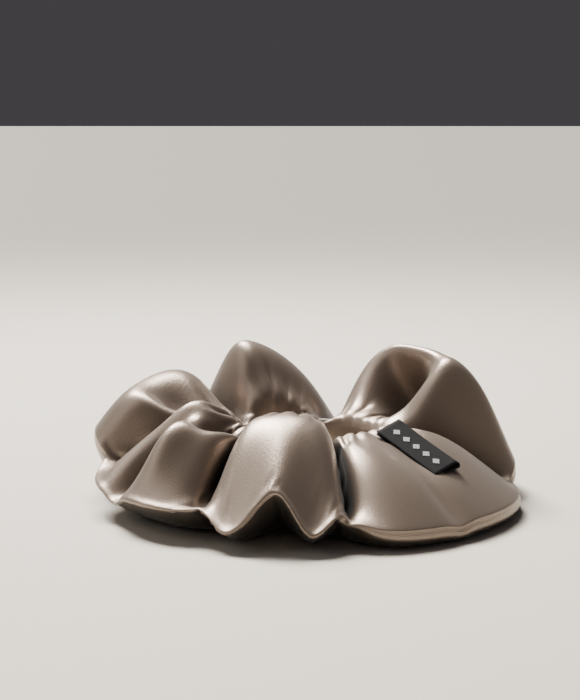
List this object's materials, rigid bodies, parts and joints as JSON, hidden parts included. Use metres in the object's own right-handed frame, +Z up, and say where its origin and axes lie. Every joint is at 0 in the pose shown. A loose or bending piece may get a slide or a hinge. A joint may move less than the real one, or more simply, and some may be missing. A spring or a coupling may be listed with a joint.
{
  "type": "scrunchie",
  "caption": "Hair scrunchie: a gathered satin tube on a ring of flat elastic, with a folded woven label sewn into its cross seam.",
  "frame": {"origin": "centre of the hair loop, on the surface that the scrunchie lies on", "axes": "+Z up along the loop's axis; +X towards the half with the label and away from the stretched-open half; -Y towards the closing seam"},
  "size_m": [0.1199, 0.112, 0.0379],
  "materials": {
    "satin": "lustrous warm taupe satin weave",
    "elastic": "braided elastic, off-white, matt",
    "thread": "spun sewing thread, taupe",
    "label_tape": "black damask woven tape",
    "label_yarn": "silver-white woven yarn"
  },
  "bodies": {
    "left_half": {"cover_left": "satin", "elastic_left": "elastic", "long_seam_thread_left": "thread"},
    "right_half": {"cover_right": "satin", "elastic_right": "elastic", "elastic_join_thread": "thread", "long_seam_thread_right": "thread", "closing_seam_thread": "thread"},
    "label": {"woven_label": "label_tape", "label_motif": "label_yarn"}
  },
  "joints": [
    {"name": "stretch", "type": "slide", "parent": "left_half", "child": "right_half", "axis": [1, 0, 0], "range_m": [0, 0.05], "stiffness_N_per_m": 60},
    {"name": "label_flap", "type": "hinge", "parent": "right_half", "child": "label", "pos_m": [0.026, -0.026, 0.0168], "axis": [0.6789, -0.6113, -0.4067], "range_deg": [0, 100]}
  ]
}
